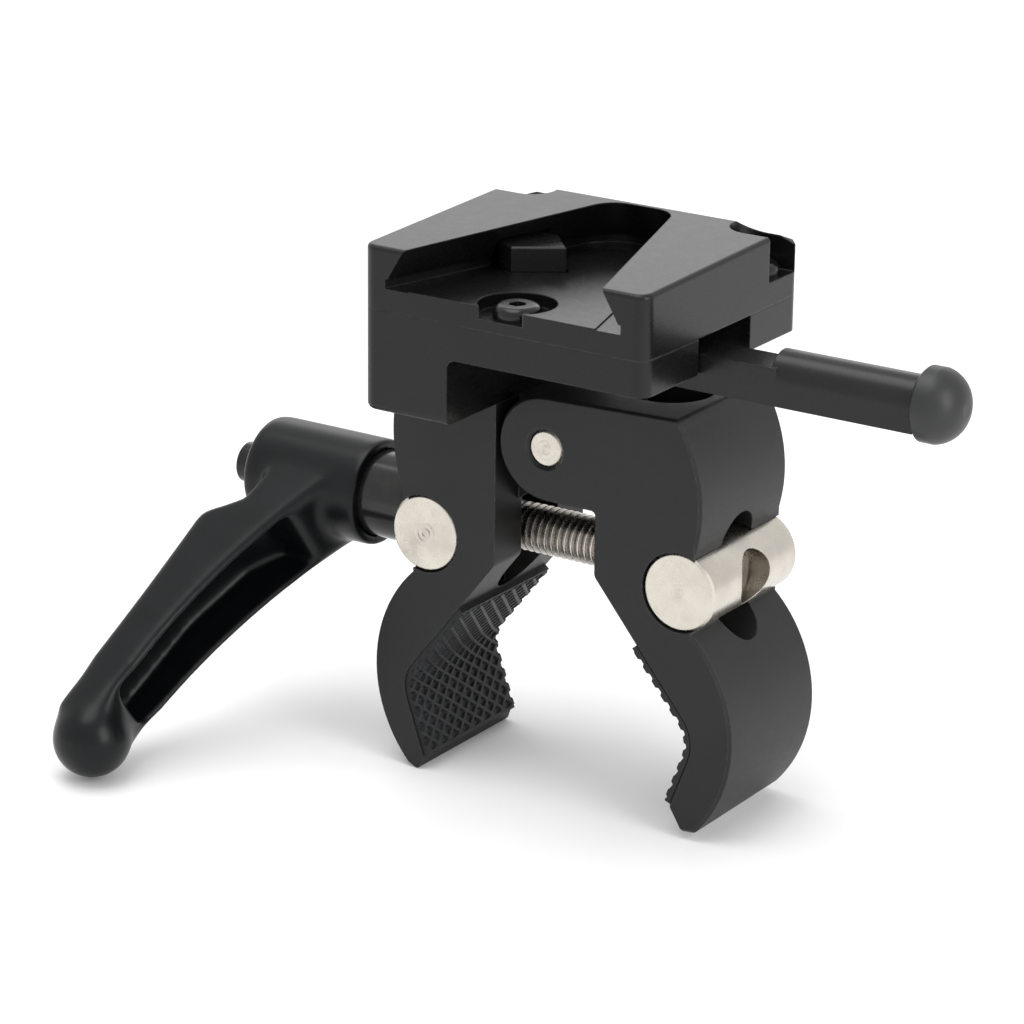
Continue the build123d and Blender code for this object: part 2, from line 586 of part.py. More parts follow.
with BuildPart() as left_jaw:
    with BuildSketch(JAW_PLANE) as outline:
        with BuildLine():
            Polyline((LEFT_TOP_X, JAW_TOP), (JAW_SHOULDER_X, JAW_TOP), LEFT_THROAT, *LEFT_PAD,
                     *LEFT_TIP)
            ThreePointArc(*LEFT_BACK_LOWER)
            Line(LEFT_BACK_LOWER[-1], LEFT_BACK_UPPER[0])
            ThreePointArc(*LEFT_BACK_UPPER, (LEFT_TOP_X, JAW_TOP))
        make_face()
        fillet(outline.vertices().sort_by_distance((*LEFT_THROAT, 0))[0], 1.5)
        fillet(outline.vertices().sort_by_distance((*LEFT_PAD[1], 0))[0], PAD_BEND_R)
        fillet(outline.vertices().sort_by_distance((*LEFT_TIP[0], 0))[0], TIP_R)
        with Locations(LEFT_BARREL):
            Circle(BARREL_SEAT_R, mode=Mode.SUBTRACT)
    extrude(amount=JAW_DEPTH / 2, both=True)
    with BuildSketch(JAW_PLANE):
        add(pad_layer(LEFT_PAD, PAD_INSET, Side.RIGHT))
    extrude(amount=PAD_SEAT_DEPTH / 2, both=True, mode=Mode.SUBTRACT)
    with BuildSketch(JAW_PLANE):
        Circle(EYE_R)
        Polygon((TONGUE_ROOT_LOWER[1][0], JAW_TOP), (TONGUE_ROOT_LOWER[0][0], JAW_TOP),
                *TONGUE_ROOT_LOWER, align=None)
    extrude(amount=TONGUE_WIDTH / 2, both=True)
    with BuildSketch(JAW_PLANE):
        Circle(PIVOT_PIN_R)
    extrude(amount=TONGUE_WIDTH, both=True, mode=Mode.SUBTRACT)
    # upright slot that lets the clamp screw tilt as the jaws close
    with BuildSketch(across_screw(-9)):
        SlotOverall(*LEFT_SLOT, rotation=90)
    extrude(amount=25, mode=Mode.SUBTRACT)
    with BuildSketch(along_screw(180)):
        Polygon(*TILT_RECESS, align=None)
    extrude(amount=TILT_RECESS_WIDTH / 2, both=True, mode=Mode.SUBTRACT)
    with BuildSketch(Plane.XY.offset(BOSS_BOTTOM_Z)):
        with Locations(*JAW_SCREWS):
            Circle(M5_HOLE_R)
    extrude(amount=-(M5_SHANK_LENGTH - M5_SEAT_Z + BOSS_BOTTOM_Z + 0.5), mode=Mode.SUBTRACT)
save(left_jaw.part, "left_jaw")

# ---------------------------------------------------------------- right jaw, hinged

with BuildPart() as right_jaw:
    with BuildSketch(JAW_PLANE) as outline:
        Circle(EAR_R)
        with BuildLine():
            Polyline((0, EAR_R), RIGHT_SHOULDER, RIGHT_BACK_UPPER[0])
            ThreePointArc(*RIGHT_BACK_UPPER)
            Line(RIGHT_BACK_UPPER[-1], RIGHT_BACK_LOWER[0])
            ThreePointArc(*RIGHT_BACK_LOWER)
            Polyline(RIGHT_BACK_LOWER[-1], *RIGHT_TIP, *RIGHT_PAD[::-1], RIGHT_THROAT,
                     EAR_CORNER, (0, -EAR_R))
            Line((0, -EAR_R), (0, EAR_R))
        make_face()
        fillet(outline.vertices().sort_by_distance((*RIGHT_SHOULDER, 0))[0], 1.0)
        fillet(outline.vertices().sort_by_distance((*RIGHT_THROAT, 0))[0], 1.5)
        fillet(outline.vertices().sort_by_distance((*EAR_CORNER, 0))[0], 0.8)
        fillet(outline.vertices().sort_by_distance((*RIGHT_PAD[1], 0))[0], PAD_BEND_R)
        fillet(outline.vertices().sort_by_distance((*RIGHT_TIP[0], 0))[0], TIP_R)
        with Locations(RIGHT_BARREL):
            Circle(BARREL_SEAT_R, mode=Mode.SUBTRACT)
        Circle(PIVOT_PIN_R + RUNNING_GAP, mode=Mode.SUBTRACT)
    extrude(amount=JAW_DEPTH / 2, both=True)
    with BuildSketch(JAW_PLANE):
        add(pad_layer(RIGHT_PAD, PAD_INSET, Side.LEFT))
    extrude(amount=PAD_SEAT_DEPTH / 2, both=True, mode=Mode.SUBTRACT)
    # clevis slot with a rounded end, open towards the left jaw
    with BuildSketch(Plane.XY.offset(PIVOT_Z + CLEVIS_FLOOR)):
        with Locations((PIVOT_X + CLEVIS_END_X - 20, 0)):
            SlotCenterToCenter(40, CLEVIS_WIDTH)
    extrude(amount=20, mode=Mode.SUBTRACT)
    with BuildSketch(across_screw(RIGHT_BARREL[0] - LEFT_BARREL[0] - 20, RIGHT_BARREL_Z)):
        SlotOverall(*RIGHT_SLOT, rotation=90)
    extrude(amount=40, mode=Mode.SUBTRACT)
    pin_hole = right_jaw.edges().filter_by(GeomType.CIRCLE).filter_by(
        lambda edge: edge.radius < PIVOT_PIN_R + 2 * RUNNING_GAP)
    chamfer(pin_hole.group_by(Axis.Y)[0] + pin_hole.group_by(Axis.Y)[-1], PIN_LEAD_IN)
save(right_jaw.part, "right_jaw")

with BuildPart() as pivot_pin:
    with BuildSketch(JAW_PLANE):
        Circle(PIVOT_PIN_R)
    extrude(amount=PIVOT_PIN_LENGTH / 2, both=True)
    chamfer(pivot_pin.edges().filter_by(GeomType.CIRCLE), 0.35)
save(pivot_pin.part, "pivot_pin")

# ---------------------------------------------------------------- barrels

with BuildPart() as left_barrel:
    with BuildSketch(JAW_PLANE):
        with Locations(LEFT_BARREL):
            Circle(BARREL_R)
    extrude(amount=BARREL_LENGTH / 2, both=True)
    chamfer(left_barrel.edges().filter_by(GeomType.CIRCLE), 0.4)
    with BuildSketch(across_screw(-BARREL_R - 1)):
        Circle(WASHER_R + 0.5)
    extrude(amount=BARREL_FLAT_X + BARREL_R + 1, mode=Mode.SUBTRACT)
    with BuildSketch(across_screw(-BARREL_R - 1)):
        Circle(SCREW_BORE_R)
    extrude(amount=2 * BARREL_R + 2, mode=Mode.SUBTRACT)
    with BuildSketch(across_screw(RING_X)):
        Circle(RING_OUTER_R)
    extrude(amount=RING_WIDTH, mode=Mode.SUBTRACT)
save(left_barrel.part, "left_barrel")

with BuildPart() as retaining_ring:
    with BuildSketch(across_screw(RING_X)):
        Circle(RING_OUTER_R)
        Circle(RING_INNER_R, mode=Mode.SUBTRACT)
        with Locations((0, -RING_OUTER_R)):
            Rectangle(2.0, 2 * (RING_OUTER_R - RING_INNER_R) + 1, mode=Mode.SUBTRACT)
    extrude(amount=RING_WIDTH)
save(retaining_ring.part, "retaining_ring")

with BuildPart() as right_barrel:
    with BuildSketch(JAW_PLANE):
        with Locations(RIGHT_BARREL):
            Circle(BARREL_R)
    extrude(amount=BARREL_LENGTH / 2, both=True)
    chamfer(right_barrel.edges().filter_by(GeomType.CIRCLE), 0.4)
    with BuildSketch(across_screw(RIGHT_BARREL[0] - LEFT_BARREL[0] - 8, RIGHT_BARREL_Z)):
        Circle(NUT_BORE_R)
    extrude(amount=16, mode=Mode.SUBTRACT)
save(right_barrel.part, "right_barrel")

# ---------------------------------------------------------------- clamp screw

with BuildPart() as clamp_screw:
    with BuildSketch(across_screw(SCREW_LEFT_END)):
        Circle(SCREW_R)
    extrude(amount=SCREW_RIGHT_END - SCREW_LEFT_END)
    chamfer(clamp_screw.edges().group_by(Axis.X)[-1], 0.8)
    with BuildSketch(across_screw(RING_X - 0.15)):
        Circle(SCREW_R + 1)
        Circle(NECK_R, mode=Mode.SUBTRACT)
    extrude(amount=RING_WIDTH + 0.3, mode=Mode.SUBTRACT)
    with BuildSketch(across_screw(SCREW_LEFT_END)):
        Circle(CAP_SCREW_R)
    extrude(amount=CAP_SCREW_TIP_X - SCREW_LEFT_END, mode=Mode.SUBTRACT)
save(clamp_screw.part, "clamp_screw")

with BuildPart() as thrust_washer:
    with BuildSketch(across_screw(BARREL_FLAT_X - WASHER_THICKNESS)):
        Circle(WASHER_R)
        Circle(SCREW_BORE_R, mode=Mode.SUBTRACT)
    extrude(amount=WASHER_THICKNESS)
save(thrust_washer.part, "thrust_washer")

# ---------------------------------------------------------------- handle

INSERT_FACE_X = BARREL_FLAT_X - WASHER_THICKNESS - 0.1
with BuildPart() as handle_insert:
    with BuildSketch(along_screw()):
        with BuildLine():
            Polyline((INSERT_FACE_X, SCREW_R), (INSERT_FACE_X, INSERT_COLLAR_R),
                     (INSERT_FACE_X - INSERT_COLLAR_LENGTH, INSERT_R),
                     (INSERT_FACE_X - INSERT_LENGTH, INSERT_R),
                     (INSERT_FACE_X - INSERT_LENGTH, SCREW_R), close=True)
        make_face()
    revolve(axis=SCREW_AXIS)
save(handle_insert.part, "handle_insert")

with BuildPart() as cap_screw:
    with BuildSketch(along_screw()):
        with BuildLine():
            Polyline((CAP_SCREW_TIP_X, 0), (CAP_SCREW_TIP_X, CAP_SCREW_R),
                     (CAP_HEAD_X, CAP_SCREW_R), (CAP_HEAD_X, CAP_HEAD_R),
                     (CAP_HEAD_X - CAP_HEAD_HEIGHT, CAP_HEAD_R),
                     (CAP_HEAD_X - CAP_HEAD_HEIGHT, 0), close=True)
        make_face()
    revolve(axis=SCREW_AXIS)
    with BuildSketch(across_screw(CAP_HEAD_X - CAP_HEAD_HEIGHT)):
        RegularPolygon(1.7, 6)
    extrude(amount=1.2, mode=Mode.SUBTRACT)
save(cap_screw.part, "cap_screw")

ARM_PLANE = along_screw(ARM_SWING)
ARM_WIDTH_PLANE = Plane(ARM_PLANE.origin, x_dir=-ARM_PLANE.z_dir, z_dir=(1, 0, 0))
HUB_END_X = HUB_RIM_X - HUB_LENGTH


def arm_width_outline(margin):
    """Plan of the arm, wide at the hub and narrow at the ball, less a margin on each side."""
    root = ARM_ROOT_WIDTH / 2 - margin
    tip = ARM_TIP_WIDTH / 2 - margin
    Polygon((-root, 0), (root, 0), (tip, TIP_BALL[1]), (-tip, TIP_BALL[1]), align=None)


with BuildPart() as handle_grip:
    with BuildSketch(ARM_PLANE):
        with BuildLine():
            ThreePointArc(ARM_OUTER[0], ARM_OUTER[1], ARM_OUTER[2])
            Line(ARM_OUTER[2], ARM_INNER[2])
            ThreePointArc(ARM_INNER[2], ARM_INNER[1], ARM_INNER[0])
            Polyline(ARM_INNER[0], *ARM_SHOULDER, ARM_OUTER[0])
        make_face()
    extrude(amount=ARM_ROOT_WIDTH, both=True)
    with BuildSketch(ARM_WIDTH_PLANE.offset(HUB_RIM_X)):
        arm_width_outline(0)
    extrude(amount=-60, mode=Mode.INTERSECT)
    long_edges = handle_grip.edges().filter_by(lambda edge: edge.length > 0.6 * TIP_BALL[1])
    fillet(long_edges, ARM_EDGE_R)
    with BuildSketch(ARM_PLANE):
        with BuildLine():
            Polyline((TIP_BALL[0], TIP_BALL[1] - TIP_BALL_R), (TIP_BALL[0], TIP_BALL[1] + TIP_BALL_R))
            ThreePointArc((TIP_BALL[0], TIP_BALL[1] + TIP_BALL_R),
                          (TIP_BALL[0] + TIP_BALL_R, TIP_BALL[1]),
                          (TIP_BALL[0], TIP_BALL[1] - TIP_BALL_R))
        make_face()
    revolve(axis=Axis(ARM_PLANE.from_local_coords(Vector(*TIP_BALL)), ARM_PLANE.y_dir))
    # hub, a cylinder with a domed end
    with BuildSketch(along_screw()):
        with BuildLine():
            Polyline((HUB_END_X, 0), (HUB_RIM_X, 0), (HUB_RIM_X, HUB_R - 0.4),
                     (HUB_RIM_X - 0.4, HUB_R), (HUB_END_X + HUB_DOME_R, HUB_R))
            RadiusArc((HUB_END_X + HUB_DOME_R, HUB_R), (HUB_END_X, HUB_R - HUB_DOME_R),
                      HUB_DOME_R)
            Line((HUB_END_X, HUB_R - HUB_DOME_R), (HUB_END_X, 0))
        make_face()
    revolve(axis=SCREW_AXIS)
    # hollow underside of the arm, within its walls
    with BuildSketch(ARM_PLANE, mode=Mode.PRIVATE) as hollow_profile:
        Polygon((HOLLOW_INNER_X, HOLLOW_START), (HOLLOW_INNER_X, HOLLOW_END), *HOLLOW_OUTER,
                align=None)
    with BuildSketch(ARM_WIDTH_PLANE.offset(-60), mode=Mode.PRIVATE) as hollow_plan:
        arm_width_outline(ARM_WALL)
    hollow = extrude(hollow_profile.sketch, amount=ARM_ROOT_WIDTH, both=True, mode=Mode.PRIVATE)
    hollow_sides = extrude(hollow_plan.sketch, amount=60, mode=Mode.PRIVATE)
    add(hollow & hollow_sides, mode=Mode.SUBTRACT)
    # bore of the insert, hole of the cap screw, and the recess of its head
    with BuildSketch(across_screw(WEB_X)):
        Circle(HUB_BORE_R)
    extrude(amount=HUB_RIM_X - WEB_X, mode=Mode.SUBTRACT)
    with BuildSketch(across_screw(WEB_X)):
        Circle(CAP_SCREW_R + 0.25)
    extrude(amount=-WEB_THICKNESS, mode=Mode.SUBTRACT)
    with BuildSketch(across_screw(WEB_X - WEB_THICKNESS)):
        Circle(RECESS_R)
    extrude(amount=HUB_END_X - WEB_X + WEB_THICKNESS, mode=Mode.SUBTRACT)
save(handle_grip.part, "handle_grip")
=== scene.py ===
"""Looks of the super clamp: procedural finishes, knurled pads, screw thread, light."""

import math

import bpy
import numpy as np
from mathutils import Matrix, Vector


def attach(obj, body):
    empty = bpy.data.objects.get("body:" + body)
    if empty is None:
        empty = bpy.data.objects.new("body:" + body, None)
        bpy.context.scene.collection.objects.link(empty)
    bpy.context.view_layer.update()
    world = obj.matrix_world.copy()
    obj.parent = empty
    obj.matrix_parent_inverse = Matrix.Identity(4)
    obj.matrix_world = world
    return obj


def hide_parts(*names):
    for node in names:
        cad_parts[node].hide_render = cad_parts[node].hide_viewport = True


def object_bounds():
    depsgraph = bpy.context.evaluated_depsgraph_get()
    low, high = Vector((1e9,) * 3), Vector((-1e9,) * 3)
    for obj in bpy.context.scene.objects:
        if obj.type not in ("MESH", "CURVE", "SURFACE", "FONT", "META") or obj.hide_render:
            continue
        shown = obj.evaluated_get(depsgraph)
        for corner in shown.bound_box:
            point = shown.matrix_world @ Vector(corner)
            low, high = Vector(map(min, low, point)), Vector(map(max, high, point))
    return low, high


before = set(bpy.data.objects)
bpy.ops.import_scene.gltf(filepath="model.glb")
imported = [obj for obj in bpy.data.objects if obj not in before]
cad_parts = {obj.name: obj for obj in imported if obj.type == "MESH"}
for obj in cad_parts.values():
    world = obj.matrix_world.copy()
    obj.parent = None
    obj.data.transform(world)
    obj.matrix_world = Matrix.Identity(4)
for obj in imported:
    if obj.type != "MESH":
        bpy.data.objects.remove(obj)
cad_box = [list(corner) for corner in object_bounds()]
MM = 0.001

# ------------------------------------------------------------------ named values

# cosine of a true normal against a bevelled one: at a flat, and at a fully sharp edge
FLAT_COSINE, SHARP_COSINE = 0.995, 0.86
MOULDED_EDGE = 0.3 * MM
COOL = -0.03                      # warmth of the neutral blacks, a touch blue
RING_PITCH, RING_HEIGHT = 0.16 * MM, 0.004 * MM
LIP_PITCH, LIP_HEIGHT = 0.9 * MM, 0.03 * MM
TURNED_PITCH, TURNED_HEIGHT = 0.22 * MM, 0.002 * MM

PAD_DEPTH = 25.4 * MM
PAD_BACK = 0.02 * MM
PAD_GROUND = 0.65 * MM
PAD_BEND_R = 6.5 * MM
RIB_HEIGHT = 0.45 * MM
RIB_HALF_WIDTH, RIB_FLANK = 0.50, 0.26    # shares of a cell
RIM = 0.5 * MM
RIM_SHARE = 0.6                   # height of the plain rim, as a share of a rib's
CELL_S, CELL_Y = 1.3 * MM, 1.55 * MM
CELL_STEPS = 8
# corners of the pads' gripping faces, from the pivot's axis in the jaw plane, in mm
LEFT_PAD_FACE = [(-16.0, -29.9), (-27.1, -44.0), (-22.6, -56.8)]
RIGHT_PAD_FACE = [(17.2, -28.8), (28.2, -42.1), (23.9, -53.7)]

THREAD_PITCH = 1.25 * MM
THREAD_CREST_R, THREAD_ROOT_R = 3.95 * MM, 3.22 * MM
THREAD_ROOT_FLAT, THREAD_FLANK = 0.16, 0.70    # shares of half a pitch
THREAD_AROUND, THREAD_PER_PITCH = 72, 12
TIP_CHAMFER, TIP_SLOPE = 0.9 * MM, 0.8
# distances from the left barrel's axis along the screw
SCREW_BEFORE, SCREW_BEYOND, SCREW_PLAIN = 27 * MM, 50.2 * MM, 3.5 * MM

GRIP_CELL = 0.36 * MM
GRIP_PASSES, TIP_PASSES = 40, 60
GRIP_PULL = 0.6                   # share of the way to its neighbours' mean, each pass
GRIP_CREASE = 50                  # degrees
HUB_RIM_X = -17.0 * MM
HUB_BORE_R, HUB_R = 7.5 * MM, 8.9 * MM
HUB_WALL_FADE, HUB_RIM_FADE = 1.2 * MM, 2.5 * MM
HUB_END_START = 20.0 * MM
HUB_SKIN, HUB_SKIN_FADE = 0.6 * MM, 0.8 * MM
TIP_START = 46.0 * MM
END_FADE = 4 * MM


# ------------------------------------------------------------------ shader building

class Finish:
    """A procedural material: one Principled shader with a short chain of nodes behind it."""

    def __init__(self, name):
        self.material = bpy.data.materials.new(name)
        self.material.use_nodes = True
        self.tree = self.material.node_tree
        self.shader = self.tree.nodes["Principled BSDF"]
        self.place = self.node("ShaderNodeTexCoord").outputs["Object"]

    def node(self, kind, **settings):
        made = self.tree.nodes.new(kind)
        for key, value in settings.items():
            setattr(made, key, value)
        return made

    def put(self, value, socket):
        if isinstance(value, bpy.types.NodeSocket):
            self.tree.links.new(value, socket)
        else:
            socket.default_value = value

    def math(self, operation, first, second=0.0):
        made = self.node("ShaderNodeMath", operation=operation)
        self.put(first, made.inputs[0])
        self.put(second, made.inputs[1])
        return made.outputs[0]

    def span(self, value, low, high, to_low=0.0, to_high=1.0):
        """Value between low and high becomes a value between to_low and to_high, clamped."""
        made = self.node("ShaderNodeMapRange", clamp=True)
        self.put(value, made.inputs["Value"])
        for name, number in (("From Min", low), ("From Max", high),
                             ("To Min", to_low), ("To Max", to_high)):
            made.inputs[name].default_value = number
        return made.outputs["Result"]

    def noise(self, size, detail=2.0, stretch=(1, 1, 1), roughness=0.5):
        """Noise whose features are about size metres across."""
        scaled = self.node("ShaderNodeMapping")
        scaled.inputs["Scale"].default_value = [s / size for s in stretch]
        self.put(self.place, scaled.inputs["Vector"])
        made = self.node("ShaderNodeTexNoise")
        made.inputs["Scale"].default_value = 1.0
        made.inputs["Detail"].default_value = detail
        made.inputs["Roughness"].default_value = roughness
        self.put(scaled.outputs["Vector"], made.inputs["Vector"])
        return made.outputs["Fac"]

    def mix(self, factor, first, second):
        made = self.node("ShaderNodeMix", data_type="RGBA")
        self.put(factor, made.inputs["Factor"])
        self.put(first, made.inputs["A"])
        self.put(second, made.inputs["B"])
        return made.outputs["Result"]

    def edge(self, radius):
        """Rounded normal, and 1 on a sharp edge falling to 0 on a flat."""
        bevel = self.node("ShaderNodeBevel", samples=4)
        bevel.inputs["Radius"].default_value = radius
        true = self.node("ShaderNodeNewGeometry").outputs["Normal"]
        dot = self.node("ShaderNodeVectorMath", operation="DOT_PRODUCT")
        self.put(bevel.outputs["Normal"], dot.inputs[0])
        self.put(true, dot.inputs[1])
        return bevel.outputs["Normal"], self.span(
            dot.outputs["Value"], FLAT_COSINE, SHARP_COSINE)

    def bump(self, height, distance, normal=None):
        made = self.node("ShaderNodeBump")
        made.inputs["Distance"].default_value = distance
        self.put(height, made.inputs["Height"])
        if normal is not None:
            self.put(normal, made.inputs["Normal"])
        return made.outputs["Normal"]

    def radius_about(self, centre, axis):
        """Distance from a line along X, Y or Z through centre."""
        moved = self.node("ShaderNodeVectorMath", operation="SUBTRACT")
        self.put(self.place, moved.inputs[0])
        moved.inputs[1].default_value = centre
        flat = self.node("ShaderNodeVectorMath", operation="MULTIPLY")
        self.put(moved.outputs[0], flat.inputs[0])
        flat.inputs[1].default_value = [0.0 if i == axis else 1.0 for i in range(3)]
        length = self.node("ShaderNodeVectorMath", operation="LENGTH")
        self.put(flat.outputs[0], length.inputs[0])
        return length.outputs["Value"]

    def finish(self, colour, roughness, normal=None, metallic=0.0, ior=1.5):
        self.put(colour, self.shader.inputs["Base Color"])
        self.put(roughness, self.shader.inputs["Roughness"])
        self.shader.inputs["Metallic"].default_value = metallic
        self.shader.inputs["IOR"].default_value = ior
        if normal is not None:
            self.put(normal, self.shader.inputs["Normal"])
        return self.material


def grey(level, warmth=0.0):
    return (level * (1 + warmth), level, level * (1 - warmth), 1.0)


def coated_metal(name, level, roughness, grain, grain_height, edge_radius, edge_highlight_level, ior):
    """Anodised or painted metal: blasted grain, cloudy colour, and a painted highlight that makes
    the edges a little lighter.
    """
    look = Finish(name)
    clouds = look.noise(14 * MM, 3.0)
    speckle = look.noise(grain, 2.0, roughness=0.65)
    scuffs = look.noise(2.2 * MM, 5.0, stretch=(1, 1, 3), roughness=0.6)
    rounded, edge = look.edge(edge_radius)
    base = look.mix(look.span(clouds, 0.3, 0.7),
                    grey(level * 0.86, COOL), grey(level * 1.15, COOL))
    base = look.mix(look.span(speckle, 0.58, 0.75, 0.0, 0.3), base, grey(level * 2.2, COOL))
    # painted highlight: sharp edges lighter in colour, broken up by the scuff noise
    painted_edge_highlight = look.math("MULTIPLY", edge, look.span(scuffs, 0.42, 0.62, 0.15, 0.9))
    base = look.mix(painted_edge_highlight, base, grey(edge_highlight_level))
    shine = look.math("ADD", look.span(scuffs, 0.3, 0.7, roughness * 0.95, roughness * 1.05),
                      look.span(speckle, 0.3, 0.7, -0.02, 0.02))
    normal = look.bump(speckle, grain_height, rounded)
    return look.finish(base, shine, normal, ior=ior)


def nickel(name, centre):
    """Nickel plate over a turned part: faint rings on the ends, painted shade at their centres,
    and fine marks round the sides.
    """
    look = Finish(name)
    radius = look.radius_about(centre, 1)
    wave = look.math("SINE", look.math("MULTIPLY", radius, 2 * math.pi / RING_PITCH))
    turned = look.math("MULTIPLY", wave, look.span(look.noise(1.5 * MM, 2.0), 0.3, 0.7))
    painted_dimple_shade = look.span(radius, 1.1 * MM, 0.7 * MM)
    lips = look.math("SINE", look.math("MULTIPLY", radius, 2 * math.pi / LIP_PITCH))
    lathe = look.math("MULTIPLY", look.span(radius, 2.6 * MM, 1.2 * MM), lips)
    clouds = look.noise(5 * MM, 3.0)
    pits = look.noise(0.35 * MM, 3.0, roughness=0.7)
    base = look.mix(look.span(clouds, 0.3, 0.7), (0.65, 0.61, 0.545, 1), (0.545, 0.51, 0.455, 1))
    # painted shade: the centre of each end darker, in place of the shade in a centre dimple
    base = look.mix(look.math("MULTIPLY", painted_dimple_shade, 0.18), base, (0.38, 0.36, 0.33, 1))
    base = look.mix(look.span(pits, 0.70, 0.80, 0.0, 0.5), base, (0.28, 0.26, 0.235, 1))
    shine = look.math("ADD", look.span(clouds, 0.3, 0.7, 0.20, 0.30),
                      look.span(pits, 0.4, 0.7, 0.0, 0.06))
    rounded, _ = look.edge(0.25 * MM)
    normal = look.bump(turned, RING_HEIGHT, rounded)
    normal = look.bump(lathe, LIP_HEIGHT, normal)
    return look.finish(base, shine, normal, metallic=1.0)


def thread_steel(name, axis_z):
    """Nickel-plated screw with painted shade darkening the roots of its thread, and a scatter of
    darker grit.
    """
    look = Finish(name)
    radius = look.radius_about((0, 0, axis_z), 0)
    painted_root_shade = look.span(radius, 3.85 * MM, 3.35 * MM)
    clouds = look.noise(3 * MM, 3.0)
    grit = look.noise(0.25 * MM, 3.0, roughness=0.7)
    base = look.mix(look.span(clouds, 0.3, 0.7), (0.72, 0.68, 0.63, 1), (0.56, 0.53, 0.49, 1))
    # painted shade: the roots of the thread darker in colour
    base = look.mix(look.math("MULTIPLY", painted_root_shade, 0.75), base, (0.16, 0.145, 0.125, 1))
    base = look.mix(look.span(grit, 0.66, 0.8, 0.0, 0.6), base, (0.22, 0.19, 0.16, 1))
    shine = look.span(grit, 0.3, 0.7, 0.20, 0.36)
    return look.finish(base, shine, look.bump(grit, 0.01 * MM), metallic=1.0)


def moulded(name, level, roughness, warmth, flow, grain_height, ior):
    """Moulded plastic: smooth with a faint flow pattern, a fine texture, and soft edges with a
    painted highlight.
    """
    look = Finish(name)
    streaks = look.noise(flow, 3.0, stretch=(0.35, 1.6, 1.0))
    texture = look.noise(0.12 * MM, 2.0)
    sink = look.noise(9 * MM, 1.0)
    rounded, edge = look.edge(MOULDED_EDGE)
    base = look.mix(look.span(streaks, 0.3, 0.7),
                    grey(level * 0.85, warmth), grey(level * 1.18, warmth))
    # painted highlight: sharp edges lighter in colour
    base = look.mix(look.math("MULTIPLY", edge, 0.35), base, grey(level * 2.6, warmth))
    shine = look.math("ADD", look.span(streaks, 0.3, 0.7, roughness * 0.92, roughness * 1.1),
                      look.span(texture, 0.3, 0.7, -0.02, 0.02))
    normal = look.bump(sink, 0.05 * MM, rounded)
    normal = look.bump(texture, grain_height, normal)
    return look.finish(base, shine, normal, ior=ior)


def rubber(name):
    """Dull black rubber, with a painted sheen making the edges of its ribs lighter."""
    look = Finish(name)
    rib_sheen_noise = look.noise(0.5 * MM, 4.0, roughness=0.7)
    clouds = look.noise(6 * MM, 2.0)
    pores = look.noise(0.10 * MM, 2.0)
    rounded, edge = look.edge(0.15 * MM)
    base = look.mix(look.span(clouds, 0.3, 0.7),
                    (0.0045, 0.0050, 0.0062, 1), (0.0070, 0.0077, 0.0094, 1))
    # painted sheen: rib edges lighter in colour, broken up by noise
    painted_rib_sheen = look.math("MULTIPLY", edge, look.span(rib_sheen_noise, 0.4, 0.65, 0.1, 0.8))
    base = look.mix(painted_rib_sheen, base, (0.026, 0.026, 0.027, 1))
    shine = look.span(rib_sheen_noise, 0.3, 0.7, 0.42, 0.6)
    return look.finish(base, shine, look.bump(pores, 0.02 * MM, rounded), ior=1.42)


def black_oxide(name, axis_place, axis, roughness, level):
    """Blackened steel with turning marks about one axis, and a painted highlight on its edges."""
    look = Finish(name)
    radius = look.radius_about(axis_place, axis)
    marks = look.noise(0.3 * MM, 2.0, stretch=[4.0 if i == axis else 0.3 for i in range(3)])
    rings = look.math("SINE", look.math("MULTIPLY", radius, 2 * math.pi / TURNED_PITCH))
    clouds = look.noise(3 * MM, 3.0)
    rounded, edge = look.edge(0.22 * MM)
    base = look.mix(look.span(clouds, 0.3, 0.7), grey(level * 0.8), grey(level * 1.25, 0.04))
    # painted highlight: sharp edges lighter in colour, stronger where the cloud noise is high
    painted_edge_highlight = look.math("MULTIPLY", edge, look.span(clouds, 0.4, 0.6, 0.1, 0.5))
    base = look.mix(painted_edge_highlight, base, grey(0.16))
    shine = look.span(marks, 0.3, 0.7, roughness * 0.8, roughness * 1.3)
    normal = look.bump(rings, TURNED_HEIGHT, rounded)
    normal = look.bump(marks, 0.006 * MM, normal)
    return look.finish(base, shine, normal, metallic=0.35)


# ------------------------------------------------------------------ shared places, from the CAD

PIVOT = Vector((-0.6, 0, -25.8)) * MM
SCREW_Z = -44.3 * MM
LEFT_BARREL_X, RIGHT_BARREL_X = -23.2 * MM, 24.0 * MM
LEVER_PIVOT = (-17.5 * MM, -15.5 * MM, 0)

# ------------------------------------------------------------------ new meshes


def mesh_object(name, points, faces, smooth_angle=None):
    mesh = bpy.data.meshes.new(name)
    mesh.from_pydata(points, [], faces)
    mesh.update()
    made = bpy.data.objects.new(name, mesh)
    bpy.context.scene.collection.objects.link(made)
    if smooth_angle is not None:
        mesh.shade_smooth()
        mesh.set_sharp_from_angle(angle=math.radians(smooth_angle))
    return made


